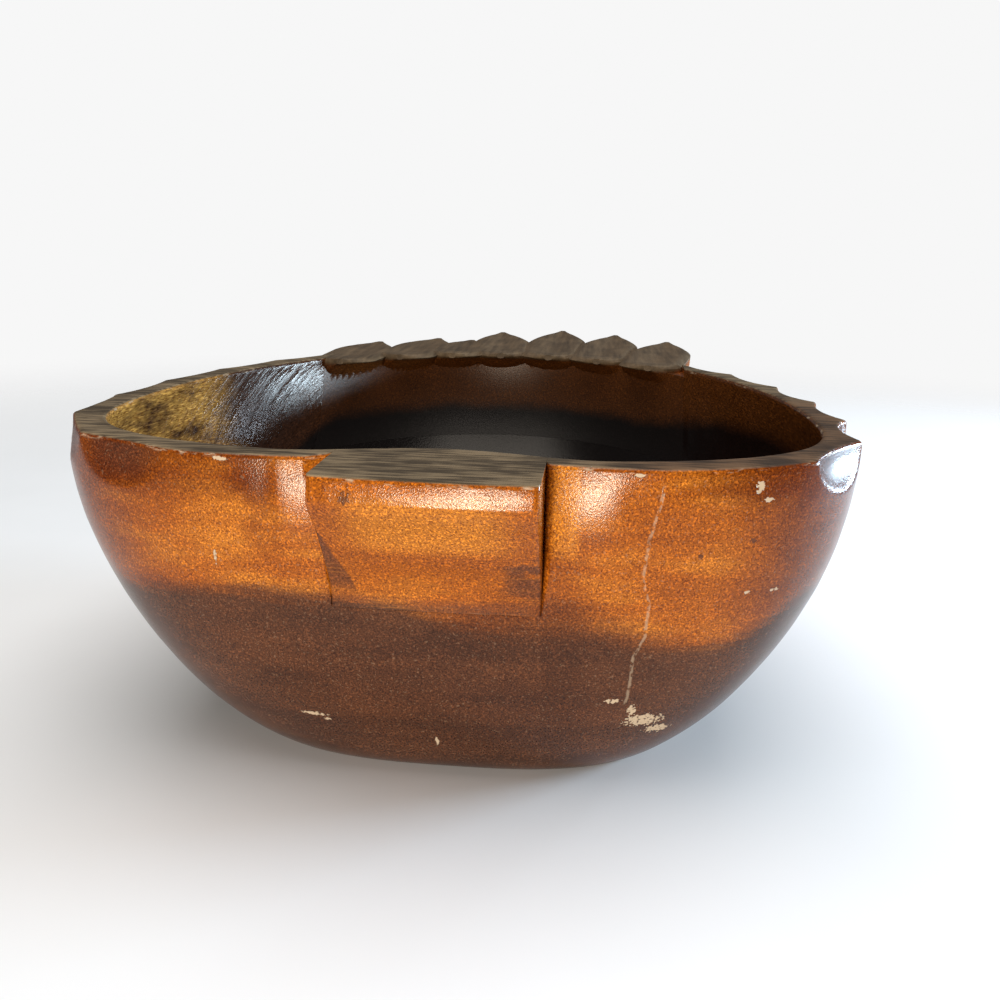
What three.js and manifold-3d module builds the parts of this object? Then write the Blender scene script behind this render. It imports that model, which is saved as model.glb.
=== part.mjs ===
// A carved wooden bowl in the outline of a pineapple: a round-bellied bowl body, a stem block let into one end
// of its rim and a crown of leaves let into the other end, both held down on hidden wooden dowels.
// Millimetres, +Z up, +Y from the stem towards the crown.
import * as THREE from "three";
import { mergeVertices } from "three/addons/utils/BufferGeometryUtils.js";
import Module from "manifold-3d";

const wasm = await Module();
wasm.setup();

// Bowl body, seen from above: an egg, blunt at the stem end and tapering to the crown
const bodyWidth = 240; // across the widest line
const bodyFront = 83; // from the widest line to the stem end
const bodyBack = 169; // from the widest line to the crown end
const frontFullness = 2.85; // 2 is an ellipse, more is squarer
const backFullness = 2;
const bodyHeight = 100;

// Foot of the bowl, the flat that it stands on
const baseWidth = 125;
const baseFront = 43;
const baseBack = 88;
const baseShift = -8; // its widest line, towards the stem from the rim's
const baseOffset = 2; // its axis, to the right of the rim's

// Belly of the wall between the foot and the rim
const bellyRise = 1.94;
const bellyFlare = 1.3;

// Hollow of the bowl
const rimWall = 11;
const floorThickness = 13;
const floorInset = 5; // the hollow's floor inside the outline of the foot
const swellReach = 10; // the rim thickens into the hollow behind the stem
const swellHalfWidth = 44;
const swellDrop = 48;

// Gouged scallops under the edge of the rim
const scallopStart = 104; // along the rim from the middle of the stem end
const scallopCount = 6; // on each side, up to the crown
const extraLeftScallops = 1; // towards the stem, on the left side alone
const scallopDepth = 4.5; // on the right side
const leftScallopDepth = 2.2;
const scallopDrop = 16;

// Stem block
const stemWidth = 55;
const stemOffset = 2.5; // to the right of the axis
const stemReach = 18; // lip beyond the rim's outline
const stemDepth = 40; // seat below the rim
const lipNose = 4.5; // upright front of the lip
const lipTurn = 14; // where the lip's underside turns from steep to shallow
const lipRoot = 32; // where the lip's underside ends
const panelRecess = 0.6; // of the lip's root behind the wall's outside, which runs out at the seat

// Crown of leaves
const crownWidth = 156;
const crownDepth = 38; // seat below the rim
const leafLengths = [72, 74, 58, 98, 117, 110, 100]; // left to right, from the rounded foot to the tip
const leafTurns = [2, 5, 2, -5, 1, 5, 8]; // left to right, degrees that a leaf leans to the right
const leafRowShift = -4; // the row's middle, to the right of the axis
const leafOverlap = 4.5; // of neighbouring leaves at the root
const leafSpread = 0.25; // widening of a leaf along its length
const leafShoulder = 0.5; // share of a leaf's length where it starts to narrow to its tip
const lobeReach = 10; // rounded feet of the leaves into the hollow
const lobeDepth = 13; // thickness of a foot where it leaves the hollow's wall
const leafRootDepth = 33; // thickness at the wall
const leafTipDepth = 9;
const leafTipWidth = 4;
const leafChamfer = 3;
const leafFootDepth = 5; // thickness at the rounded foot

// Wooden dowels
const stemDowelDiameter = 5;
const stemDowelLength = 20;
const stemDowelSpacing = 32;
const crownDowelDiameter = 8;
const crownDowelLength = 28;
const crownDowelSpacing = 46;
const dowelChamfer = 0.8;
const dowelSides = 16;

// Glue gap between neighbouring pieces, and room at the bottom of a bore
const glueGap = 0.3;
const boreRoom = 0.5;

// Mesh resolution
const scallopSteps = 6;
const plainStep = 11; // along the rim where it has no scallops
const outerLevels = [0, 0.025, 0.07, 0.13, 0.21, 0.31, 0.42, 0.53, 0.64, 0.74, 0.82, 0.84, 0.88, 0.92, 0.96, 1];
const innerLevels = [0, 0.03, 0.09, 0.18, 0.29, 0.41, 0.53, 0.65, 0.76, 0.86, 0.94, 1];
const arcSamples = 1440;
const leafStations = [0, 0.025, 0.06, 0.1, 0.16, 0.25, 0.38, 0.52, 0.66, 0.79, 0.9, 1];

// Long enough to pass through any wall
const through = 60;

// Turns a closed three.js geometry into a solid that can be joined and cut.
function solid(geometry) {
  const plain = geometry.clone();
  plain.deleteAttribute("normal");
  plain.deleteAttribute("uv");
  const merged = mergeVertices(plain, 1e-4);
  return new wasm.Manifold(
    new wasm.Mesh({
      numProp: 3,
      vertProperties: new Float32Array(merged.attributes.position.array),
      triVerts: new Uint32Array(merged.index.array),
    }),
  );
}

// Turns a solid back into a three.js geometry.
function geometryOf(made) {
  const mesh = made.getMesh();
  const geometry = new THREE.BufferGeometry();
  geometry.setAttribute("position", new THREE.BufferAttribute(new Float32Array(mesh.vertProperties), 3));
  geometry.setIndex(new THREE.BufferAttribute(new Uint32Array(mesh.triVerts), 1));
  geometry.computeVertexNormals();
  return geometry;
}

// A box between two corners.
function block(low, high) {
  const size = high.clone().sub(low);
  const middle = low.clone().add(high).multiplyScalar(0.5);
  const geometry = new THREE.BoxGeometry(size.x, size.y, size.z);
  geometry.translate(middle.x, middle.y, middle.z);
  return solid(geometry);
}

// Egg outlines

const rimEgg = { half: bodyWidth / 2, front: bodyFront, back: bodyBack, middle: 0, axis: 0 };
const baseEgg = { half: baseWidth / 2, front: baseFront, back: baseBack, middle: baseShift, axis: baseOffset };

// The same egg drawn in by a distance all round.
function drawnIn(egg, distance) {
  return {
    half: egg.half - distance,
    front: egg.front - distance,
    back: egg.back - distance,
    middle: egg.middle,
    axis: egg.axis,
  };
}

// The egg a share of the way from one egg to another.
function between(low, high, share) {
  const mix = (key) => THREE.MathUtils.lerp(low[key], high[key], share);
  return { half: mix("half"), front: mix("front"), back: mix("back"), middle: mix("middle"), axis: mix("axis") };
}

// Point of an egg at a turn from +X, anticlockwise.
function eggPoint(egg, turn) {
  const [c, s] = [Math.cos(turn), Math.sin(turn)];
  const power = 2 / (s < 0 ? frontFullness : backFullness);
  const reach = s < 0 ? egg.front : egg.back;
  const x = egg.axis + egg.half * Math.sign(c) * Math.abs(c) ** power;
  const y = egg.middle + reach * Math.sign(s) * Math.abs(s) ** power;
  return new THREE.Vector2(x, y);
}

// The y of an egg at an x, on its stem side (-1) or its crown side (1).
function eggEdge(egg, x, side) {
  const power = side < 0 ? frontFullness : backFullness;
  const reach = side < 0 ? egg.front : egg.back;
  const across = Math.abs((x - egg.axis) / egg.half);
  return egg.middle + side * reach * (1 - across ** power) ** (1 / power);
}

// How far the wall has flared from its foot to its rim at a share of its height.
const flare = (share) => (1 - (1 - share) ** bellyRise) ** (1 / bellyFlare);

const cavityEgg = drawnIn(rimEgg, rimWall);
const floorEgg = drawnIn(baseEgg, floorInset);
const outerEggAt = (z) => between(baseEgg, rimEgg, flare(z / bodyHeight));
const innerEggAt = (z) => between(floorEgg, cavityEgg, flare((z - floorThickness) / (bodyHeight - floorThickness)));

// Distances along the rim, from the middle of the stem end round the right side to the crown

const rimTurns = Array.from({ length: arcSamples + 1 }, (_, i) => -Math.PI / 2 + (Math.PI * i) / arcSamples);
const rimArcs = [0];
for (let i = 1; i <= arcSamples; i++) {
  const step = eggPoint(rimEgg, rimTurns[i]).distanceTo(eggPoint(rimEgg, rimTurns[i - 1]));
  rimArcs.push(rimArcs[i - 1] + step);
}
const halfRim = rimArcs[arcSamples];

function turnAtArc(arc) {
  const i = Math.min(arcSamples, Math.max(1, rimArcs.findIndex((length) => length >= arc)));
  const share = (arc - rimArcs[i - 1]) / (rimArcs[i] - rimArcs[i - 1]);
  return THREE.MathUtils.lerp(rimTurns[i - 1], rimTurns[i], share);
}

const crownArc = rimArcs[rimTurns.findIndex((turn) => turn > 0 && eggPoint(rimEgg, turn).x < crownWidth / 2)];
const scallopPitch = (crownArc - scallopStart) / scallopCount;

// Depth of the gouged scallops at a distance along the rim, right side positive, and a drop below it.
function scallop(arc, drop) {
  const start = scallopStart - (arc < 0 ? extraLeftScallops * scallopPitch : 0);
  const along = Math.abs(arc) - start;
  if (along <= 0 || along >= crownArc - start) return 0;
  const across = ((along / scallopPitch) % 1) * 2 - 1;
  const depth = arc < 0 ? leftScallopDepth : scallopDepth;
  return depth * Math.max(0, 1 - across ** 2 - (drop / scallopDrop) ** 2);
}

// Inward swell of the hollow's wall behind the stem.
function swell(x, y, drop) {
  const across = Math.min(1, Math.abs(x - stemOffset) / swellHalfWidth);
  const down = Math.min(1, drop / swellDrop);
  return y > 0 ? 0 : swellReach * (1 - across ** 2) ** 2 * (1 - down) ** 2;
}

// Stations round the rim as signed distances: plain stretches, and a whole number of steps to each scallop.
function rimStations() {
  const side = (start) => {
    const plainCount = Math.round(start / plainStep);
    const scallops = Math.round((crownArc - start) / scallopPitch) * scallopSteps;
    const crownCount = Math.round((halfRim - crownArc) / plainStep);
    const plain = Array.from({ length: plainCount }, (_, i) => (start * i) / plainCount);
    const carved = Array.from({ length: scallops }, (_, i) => start + ((crownArc - start) * i) / scallops);
    const crown = Array.from({ length: crownCount }, (_, i) => crownArc + ((halfRim - crownArc) * i) / crownCount);
    return [...plain, ...carved, ...crown];
  };
  const right = side(scallopStart);
  const left = side(scallopStart - extraLeftScallops * scallopPitch).slice(1);
  return [...right, halfRim, ...left.reverse().map((arc) => -arc)];
}

// The whole hollowed bowl before its seats are cut. Growth thickens its wall on both faces.
function shell(growth) {
  const stations = rimStations();
  const rows = [];
  for (const level of outerLevels) {
    const z = level * bodyHeight;
    const egg = drawnIn(outerEggAt(z), -growth);
    rows.push(
      stations.map((arc) => {
        const turn = Math.sign(arc || 1) > 0 ? turnAtArc(arc) : Math.PI - turnAtArc(-arc);
        const point = eggPoint(egg, turn);
        const inward = new THREE.Vector2(egg.axis - point.x, egg.middle - point.y).normalize();
        point.addScaledVector(inward, scallop(arc, bodyHeight - z));
        return new THREE.Vector3(point.x, point.y, z);
      }),
    );
  }
  for (const level of [...innerLevels].reverse()) {
    const z = THREE.MathUtils.lerp(floorThickness, bodyHeight, level);
    const egg = drawnIn(innerEggAt(z), growth);
    rows.push(
      stations.map((arc) => {
        const turn = Math.sign(arc || 1) > 0 ? turnAtArc(arc) : Math.PI - turnAtArc(-arc);
        const point = eggPoint(egg, turn);
        return new THREE.Vector3(point.x, point.y + swell(point.x, point.y, bodyHeight - z), z);
      }),
    );
  }
  return solid(skin(rows));
}

// A closed surface through rings of points, with a fan over the first ring and the last.
function skin(rings) {
  const count = rings[0].length;
  const points = rings.flat();
  const faces = [];
  for (let r = 0; r + 1 < rings.length; r++)
    for (let i = 0; i < count; i++) {
      const [a, b] = [r * count + i, r * count + ((i + 1) % count)];
      faces.push(a, b, b + count, a, b + count, a + count);
    }
  const cap = (first, flip) => {
    const ring = points.slice(first, first + count);
    const middle = ring.reduce((sum, p) => sum.add(p), new THREE.Vector3()).divideScalar(count);
    const hub = points.push(middle) - 1;
    for (let i = 0; i < count; i++) {
      const [a, b] = [first + i, first + ((i + 1) % count)];
      faces.push(...(flip ? [hub, b, a] : [hub, a, b]));
    }
  };
  cap(0, true);
  cap((rings.length - 1) * count, false);
  const geometry = new THREE.BufferGeometry().setFromPoints(points);
  geometry.setIndex(faces);
  return geometry;
}

// Seats cut through the wall, where the stem block and the crown are let in

const stemSeat = {
  low: new THREE.Vector3(stemOffset - stemWidth / 2, -bodyFront - through, bodyHeight - stemDepth),
  high: new THREE.Vector3(
    stemOffset + stemWidth / 2,
    -bodyFront + rimWall + swellReach + stemDepth / 2,
    bodyHeight + through,
  ),
};
const crownSeat = {
  low: new THREE.Vector3(-crownWidth / 2, 0, bodyHeight - crownDepth),
  high: new THREE.Vector3(crownWidth / 2, bodyBack + through, bodyHeight + through),
};

// The solid of a seat, drawn in from its two sides and its floor by a gap.
function seatBlock(seat, gap) {
  const low = seat.low.clone().add(new THREE.Vector3(gap, 0, gap));
  const high = seat.high.clone().sub(new THREE.Vector3(gap, 0, 0));
  return block(low, high);
}

const wholeShell = shell(0);
const grownShell = shell(glueGap);

// Cuts a piece clear of the wall that its seat leaves standing.
const clearOfWall = (piece, seat) => piece.subtract(grownShell.subtract(seatBlock(seat, glueGap)));

// Dowels, which stand on the seat's floor in the middle of the wall and follow its slope

function wallMiddle(x, z, side) {
  const outer = eggEdge(outerEggAt(z), x, side);
  const inner = eggEdge(innerEggAt(z), x, side);
  return (outer + inner + swell(x, inner, bodyHeight - z)) / 2;
}

function dowelAxis(x, seatFloor, length, side) {
  const reach = length / 2;
  const lower = new THREE.Vector3(x, wallMiddle(x, seatFloor - reach, side), seatFloor - reach);
  const upper = new THREE.Vector3(x, wallMiddle(x, seatFloor + reach, side), seatFloor + reach);
  const direction = upper.clone().sub(lower).normalize();
  return { middle: lower.add(upper).multiplyScalar(0.5), direction };
}

// A cylinder with chamfered ends, centred on a dowel's axis.
function peg(axis, radius, length, chamfer) {
  const outline = [
    new THREE.Vector2(0, -length / 2),
    new THREE.Vector2(radius - chamfer, -length / 2),
    new THREE.Vector2(radius, -length / 2 + chamfer),
    new THREE.Vector2(radius, length / 2 - chamfer),
    new THREE.Vector2(radius - chamfer, length / 2),
    new THREE.Vector2(0, length / 2),
  ];
  const geometry = new THREE.LatheGeometry(outline, dowelSides);
  geometry.applyQuaternion(new THREE.Quaternion().setFromUnitVectors(new THREE.Vector3(0, 1, 0), axis.direction));
  geometry.translate(axis.middle.x, axis.middle.y, axis.middle.z);
  return solid(geometry);
}

const bore = (axis, diameter, length) => peg(axis, diameter / 2 + glueGap, length + 2 * boreRoom, 0);

const stemDowelAxes = [-1, 1].map((side) =>
  dowelAxis(stemOffset + (side * stemDowelSpacing) / 2, stemSeat.low.z, stemDowelLength, -1),
);
const crownDowelAxes = [-1, 0, 1].map((side) =>
  dowelAxis(side * crownDowelSpacing, crownSeat.low.z, crownDowelLength, 1),
);
const stemBores = stemDowelAxes.map((axis) => bore(axis, stemDowelDiameter, stemDowelLength));
const crownBores = crownDowelAxes.map((axis) => bore(axis, crownDowelDiameter, crownDowelLength));

const cutAll = (piece, cutters) => cutters.reduce((rest, cutter) => rest.subtract(cutter), piece);

// Bowl body

function bowlBody() {
  const open = wholeShell.subtract(seatBlock(stemSeat, 0)).subtract(seatBlock(crownSeat, 0));
  return cutAll(open, [...stemBores, ...crownBores]);
}

// Stem block: its own stretch of the wall, with a lip at the top whose underside slopes back to a low panel

// Extrudes an outline of y and z across the stem's width.
function acrossStem(outline) {
  const width = stemWidth - 2 * glueGap;
  const geometry = new THREE.ExtrudeGeometry(outline, { depth: width, bevelEnabled: false, curveSegments: 6 });
  // The outline's x and y become y and z, and its depth becomes x
  const turn = new THREE.Matrix4().makeBasis(
    new THREE.Vector3(0, 1, 0),
    new THREE.Vector3(0, 0, 1),
    new THREE.Vector3(1, 0, 0),
  );
  geometry.applyMatrix4(turn);
  geometry.translate(stemOffset - width / 2, 0, 0);
  return solid(geometry);
}

function stemBlock() {
  const wall = wholeShell.intersect(seatBlock(stemSeat, glueGap));
  const lipFront = -bodyFront - stemReach;
  const lipBottom = bodyHeight - lipRoot;
  const panelTop = eggEdge(outerEggAt(lipBottom), stemOffset, -1) + panelRecess;
  const inWall = -bodyFront + rimWall / 2;

  const lip = new THREE.Shape();
  lip.moveTo(inWall, bodyHeight);
  lip.lineTo(lipFront, bodyHeight);
  lip.lineTo(lipFront, bodyHeight - lipNose);
  lip.quadraticCurveTo(lipFront + stemReach / 2, bodyHeight - lipTurn, panelTop, lipBottom);
  lip.lineTo(inWall, lipBottom);

  const wallFoot = eggEdge(outerEggAt(stemSeat.low.z), stemOffset, -1);
  const panel = new THREE.Shape();
  panel.moveTo(lipFront, lipBottom);
  panel.lineTo(panelTop, lipBottom);
  panel.quadraticCurveTo(panelTop, (lipBottom + stemSeat.low.z) / 2, wallFoot, stemSeat.low.z);
  panel.lineTo(lipFront, stemSeat.low.z);

  const carved = wall.subtract(acrossStem(panel)).add(acrossStem(lip));
  return cutAll(clearOfWall(carved, stemSeat), stemBores);
}

// Crown: its own stretch of the wall, with a fan of pointed, keeled leaves through it

const leafPitch = crownWidth / leafLengths.length;
const leafMiddle = (leafLengths.length - 1) / 2;

// Half the width of a leaf at a share of its length: a rounded foot, a widening stretch, then a point.
function leafHalfWidth(share, length) {
  const half = ((leafPitch + leafOverlap) / 2) * (1 + leafSpread * share);
  const foot = Math.min(1, (share * length) / lobeReach);
  const taper = Math.max(0, (share - leafShoulder) / (1 - leafShoulder)) ** 1.7;
  const rounded = half * Math.sqrt(1 - (1 - foot) ** 2);
  return Math.max(leafTipWidth / 2, THREE.MathUtils.lerp(rounded, leafTipWidth / 2, taper));
}

// Thickness of a leaf at a share of its length: thin at the rounded foot, deep at the wall, thin at the tip.
function leafDepth(share, length) {
  const along = share * length;
  const wallEnd = lobeReach + rimWall;
  const mix = THREE.MathUtils.lerp;
  if (along < lobeReach) return mix(leafFootDepth, lobeDepth, Math.sqrt(along / lobeReach));
  if (along < wallEnd) return mix(lobeDepth, leafRootDepth, (along - lobeReach) / rimWall);
  return mix(leafRootDepth, leafTipDepth, Math.sqrt((along - wallEnd) / (length - wallEnd)));
}

function leaf(index) {
  const length = leafLengths[index];
  const turn = THREE.MathUtils.degToRad(leafTurns[index]);
  const ahead = new THREE.Vector3(Math.sin(turn), Math.cos(turn), 0);
  const aside = new THREE.Vector3(Math.cos(turn), -Math.sin(turn), 0);
  const x = leafRowShift + (index - leafMiddle) * leafPitch;
  const foot = new THREE.Vector3(x, eggEdge(cavityEgg, x, 1) - lobeReach, bodyHeight);
  const rings = leafStations.map((share) => {
    const half = leafHalfWidth(share, length);
    const depth = leafDepth(share, length);
    const chamfer = Math.min(leafChamfer, half / 2);
    const section = [
      [-half + chamfer, 0],
      [half - chamfer, 0],
      [half, -chamfer],
      [half * 0.7, -depth * 0.7],
      [half * 0.25, -depth],
      [-half * 0.25, -depth],
      [-half * 0.7, -depth * 0.7],
      [-half, -chamfer],
    ];
    const middle = foot.clone().addScaledVector(ahead, share * length);
    return section.map(([across, up]) => middle.clone().addScaledVector(aside, across).setZ(bodyHeight + up));
  });
  return solid(skin(rings));
}

function crown() {
  const underLeaves = block(
    new THREE.Vector3(-bodyWidth, 0, 0),
    new THREE.Vector3(bodyWidth, bodyBack + through, bodyHeight - leafChamfer),
  );
  const wall = wholeShell.intersect(seatBlock(crownSeat, glueGap)).intersect(underLeaves);
  const leaves = leafLengths.map((_, index) => leaf(index));
  const fan = leaves.reduce((joined, one) => joined.add(one), wall);
  return cutAll(clearOfWall(fan, crownSeat), crownBores);
}

// Assembly

const varnishedWood = { roughness: 0.35, metalness: 0 };
const bodyWood = new THREE.MeshStandardMaterial({ color: 0x8a4a1c, ...varnishedWood });
const stemWood = new THREE.MeshStandardMaterial({ color: 0xb4651f, ...varnishedWood });
const crownWood = new THREE.MeshStandardMaterial({ color: 0x6e5443, roughness: 0.55, metalness: 0 });
const pegWood = new THREE.MeshStandardMaterial({ color: 0xcfa874, roughness: 0.7, metalness: 0 });

const bowl = new THREE.Group();

function place(name, made, material) {
  const mesh = new THREE.Mesh(geometryOf(made), material);
  mesh.name = name;
  bowl.add(mesh);
}

place("bowl_body", bowlBody(), bodyWood);
place("stem_block", stemBlock(), stemWood);
place("crown", crown(), crownWood);
["left", "right"].forEach((side, i) => {
  const dowel = peg(stemDowelAxes[i], stemDowelDiameter / 2, stemDowelLength, dowelChamfer);
  place(`stem_dowel_${side}`, dowel, pegWood);
});
["left", "middle", "right"].forEach((side, i) => {
  const dowel = peg(crownDowelAxes[i], crownDowelDiameter / 2, crownDowelLength, dowelChamfer);
  place(`crown_dowel_${side}`, dowel, pegWood);
});

// The origin is at the middle of the whole outline, on the surface that the bowl stands on
const extent = new THREE.Box3().setFromObject(bowl);
const centre = extent.getCenter(new THREE.Vector3());
bowl.children.forEach((piece) => piece.position.set(-centre.x, -centre.y, 0));

export default bowl;
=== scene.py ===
"""A carved and varnished wooden bowl in the outline of a pineapple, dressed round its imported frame.

The bowl, its stem block and its crown are carved finely here and stand for the frame's plain solids.
Sizes are in millimetres, measured from the middle of the bowl's widest line, and become metres in the frame.
"""

import math

import bmesh
import bpy
import numpy as np
from mathutils import Matrix, Vector, noise


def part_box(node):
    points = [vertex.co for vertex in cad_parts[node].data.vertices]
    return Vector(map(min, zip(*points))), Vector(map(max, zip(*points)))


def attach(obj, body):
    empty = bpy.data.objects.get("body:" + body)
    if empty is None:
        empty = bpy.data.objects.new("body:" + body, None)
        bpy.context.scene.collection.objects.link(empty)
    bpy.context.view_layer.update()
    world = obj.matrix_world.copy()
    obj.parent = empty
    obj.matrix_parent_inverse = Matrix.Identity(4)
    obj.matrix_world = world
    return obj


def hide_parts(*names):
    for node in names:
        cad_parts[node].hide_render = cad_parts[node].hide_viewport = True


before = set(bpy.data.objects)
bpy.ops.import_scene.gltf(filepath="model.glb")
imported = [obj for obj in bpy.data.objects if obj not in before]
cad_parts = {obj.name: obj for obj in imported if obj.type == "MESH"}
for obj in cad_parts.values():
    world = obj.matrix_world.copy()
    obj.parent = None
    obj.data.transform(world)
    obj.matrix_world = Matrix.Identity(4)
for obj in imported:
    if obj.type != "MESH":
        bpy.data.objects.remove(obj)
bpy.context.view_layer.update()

MM = 0.001
UP = np.array([0.0, 0.0, 1.0])

# Outline of the bowl, as the frame has it
# Half width, reach to the stem end and to the crown end, widest line and axis
RIM_EGG = np.array([120.0, 83.0, 169.0, 0.0, 0.0])
BASE_EGG = np.array([62.5, 43.0, 88.0, -8.0, 2.0])
DRAWN_IN = np.array([1.0, 1.0, 1.0, 0.0, 0.0])  # what changes when an egg is drawn in all round
FRONT_FULLNESS = 2.85
BACK_FULLNESS = 2.0
BELLY_RISE = 1.94
BELLY_FLARE = 1.3
RIM_WALL = 11.0
FLOOR_Z = 13.0
FLOOR_INSET = 5.0
CAVITY_EGG = RIM_EGG - RIM_WALL * DRAWN_IN
FLOOR_EGG = BASE_EGG - FLOOR_INSET * DRAWN_IN
SWELL_REACH = 10.0
SWELL_HALF_WIDTH = 44.0
SWELL_DROP = 48.0
STEM_REACH = 18.0
CROWN_HALF = 78.0
GLUE_GAP = 0.3
GLUE_LINE = 0.06  # what the joints really show

# Gouged scallops
SCALLOP_START = 104.0
SCALLOP_COUNT = 6
EXTRA_LEFT_SCALLOPS = 1
SCALLOP_DEPTH = 4.5  # on the right side
LEFT_SCALLOP_DEPTH = 2.2
SCALLOP_DROP = 11.0
HAND_SPREAD = 0.14  # how unlike each other the scallops are
HAND_STEP = 2.4

# Leaves of the crown
LEAF_LENGTHS = [72, 74, 58, 98, 117, 110, 100]
LEAF_TURNS = [2, 5, 2, -5, 1, 5, 8]  # degrees to the right
LEAF_ROW_SHIFT = -4.0
LEAF_OVERLAP = 4.5
LEAF_SPREAD = 0.25
LEAF_SHOULDER = 0.5
LOBE_REACH = 10.0
LOBE_DEPTH = 8.0
LEAF_ROOT_DEPTH = 33.0
LEAF_TIP_DEPTH = 9.0
LEAF_TIP_WIDTH = 4.0

# Places taken from the frame
stem_low, stem_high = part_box("stem_block")
crown_low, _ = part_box("crown")
_, body_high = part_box("bowl_body")
RIM_Z = body_high.z / MM
STEM_LEFT = stem_low.x / MM - GLUE_GAP
STEM_RIGHT = stem_high.x / MM + GLUE_GAP
STEM_MIDDLE = (STEM_LEFT + STEM_RIGHT) / 2
STEM_FLOOR = stem_low.z / MM - GLUE_GAP
CROWN_FLOOR = crown_low.z / MM - GLUE_GAP
WIDEST_LINE = Vector((0.0, stem_low.y + (RIM_EGG[1] + STEM_REACH) * MM, 0.0))


def metres(points):
    """Millimetres from the widest line to metres in the frame."""
    return np.asarray(points, float) * MM + np.array(WIDEST_LINE)


# Shapes shared by the three carved pieces


def clamp(value):
    return np.clip(value, 0.0, 1.0)


def smoothstep(low, high, value):
    share = clamp((value - low) / (high - low))
    return share * share * (3 - 2 * share)


def flare(share):
    """How far the wall has flared from its foot to its rim at a share of its height."""
    return (1 - (1 - clamp(share)) ** BELLY_RISE) ** (1 / BELLY_FLARE)


def egg_between(low, high, share):
    return low + (high - low) * np.asarray(share)[..., None]


def outer_egg(z):
    return egg_between(BASE_EGG, RIM_EGG, flare(np.asarray(z) / RIM_Z))


def inner_egg(z):
    return egg_between(FLOOR_EGG, CAVITY_EGG, flare((np.asarray(z) - FLOOR_Z) / (RIM_Z - FLOOR_Z)))


def egg_point(egg, turn):
    """x and y of an egg at a turn from +X, anticlockwise."""
    c, s = np.cos(turn), np.sin(turn)
    power = np.where(s < 0, 2 / FRONT_FULLNESS, 2 / BACK_FULLNESS)
    reach = np.where(s < 0, egg[..., 1], egg[..., 2])
    x = egg[..., 4] + egg[..., 0] * np.sign(c) * np.abs(c) ** power
    y = egg[..., 3] + reach * np.sign(s) * np.abs(s) ** power
    return x, y


def egg_edge(egg, x, side):
    """The y of an egg at an x, on its stem side (-1) or its crown side (1)."""
    power = np.where(side < 0, FRONT_FULLNESS, BACK_FULLNESS)
    reach = np.where(side < 0, egg[..., 1], egg[..., 2])
    inside = clamp(1 - np.abs((x - egg[..., 4]) / egg[..., 0]) ** power)
    return egg[..., 3] + side * reach * inside ** (1 / power)


def swell(x, y, drop):
    """Inward thickening of the hollow's wall behind the stem."""
    across = clamp(np.abs(x - STEM_MIDDLE) / SWELL_HALF_WIDTH)
    down = clamp(drop / SWELL_DROP)
    return np.where(y > 0, 0.0, SWELL_REACH * (1 - across**2) ** 2 * (1 - down) ** 2)


NOISE_SHIFT = Vector((17.3, 5.1, 9.7))


def wavered(points, waves):
    """How far hand work wavers at points: smooth noise, with an amount, a size and a seed for each kind."""
    made = [[noise.noise(Vector(p) / size + seed * NOISE_SHIFT) for p in points] for _, size, seed in waves]
    return sum(amount * np.array(wave) for (amount, _, _), wave in zip(waves, made))


# Distances along the rim, from the middle of the stem end round the right side to the crown

ARC_STEPS = 2880
ARC_TURNS = np.linspace(-math.pi / 2, math.pi / 2, ARC_STEPS + 1)
ARC_X, ARC_Y = egg_point(RIM_EGG, ARC_TURNS)
ARCS = np.concatenate([[0.0], np.cumsum(np.hypot(np.diff(ARC_X), np.diff(ARC_Y)))])
HALF_RIM = ARCS[-1]
CROWN_ARC = ARCS[np.argmax((ARC_TURNS > 0) & (ARC_X < CROWN_HALF))]
SCALLOP_PITCH = (CROWN_ARC - SCALLOP_START) / SCALLOP_COUNT
LEFT_START = SCALLOP_START - EXTRA_LEFT_SCALLOPS * SCALLOP_PITCH


def arc_at_x(x):
    """Signed distance along the rim to where it has an x on the stem side."""
    half = ARC_TURNS <= 0
    return math.copysign(np.interp(abs(x), ARC_X[half], ARCS[half]), x)


def turn_at_arc(arc):
    turn = np.interp(np.abs(arc), ARCS, ARC_TURNS)
    return np.where(np.asarray(arc) < 0, math.pi - turn, turn)


def scallop(arc, drop):
    """Depth of the gouged scallops, for distances along the rim and drops below it."""
    start = np.where(arc < 0, LEFT_START, SCALLOP_START)
    along = np.abs(arc) - start
    number = np.floor(along / SCALLOP_PITCH)
    across = (along / SCALLOP_PITCH - number) * 2 - 1
    carved = (along > 0) & (along < CROWN_ARC - start)
    hand = 1 + HAND_SPREAD * np.sin(number * HAND_STEP + np.where(arc < 0, 1.0, 0.0))
    depth = hand * np.where(arc < 0, LEFT_SCALLOP_DEPTH, SCALLOP_DEPTH)
    bowl = 1 - across**2 - (drop / (SCALLOP_DROP * hand)) ** 2
    return np.where(carved, depth * clamp(bowl), 0.0)


# Meshes

SHARP_ANGLE = math.radians(35.0)


def new_mesh(name, points, faces):
    mesh = bpy.data.meshes.new(name)
    mesh.from_pydata([tuple(p) for p in points], [], faces)
    return mesh


def linked(name, data):
    """A new object in the scene."""
    made = bpy.data.objects.new(name, data)
    bpy.context.scene.collection.objects.link(made)
    return made


def turn_outward(mesh, most_corners=None):
    """Turns the faces outward, and cuts those with more than the most corners into triangles."""
    made = bmesh.new()
    made.from_mesh(mesh)
    bmesh.ops.recalc_face_normals(made, faces=made.faces)
    if most_corners:
        large = [face for face in made.faces if len(face.verts) > most_corners]
        bmesh.ops.triangulate(made, faces=large)
    made.to_mesh(mesh)
    made.free()


def new_piece(name, points, faces, node, finish):
    """A carved piece that stands for a node of the frame."""
    mesh = new_mesh(name, points, faces)
    mesh.validate()
    piece = linked(name, mesh)
    dress(piece, finish)
    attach(piece, "root")
    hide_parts(node)
    return piece


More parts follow.
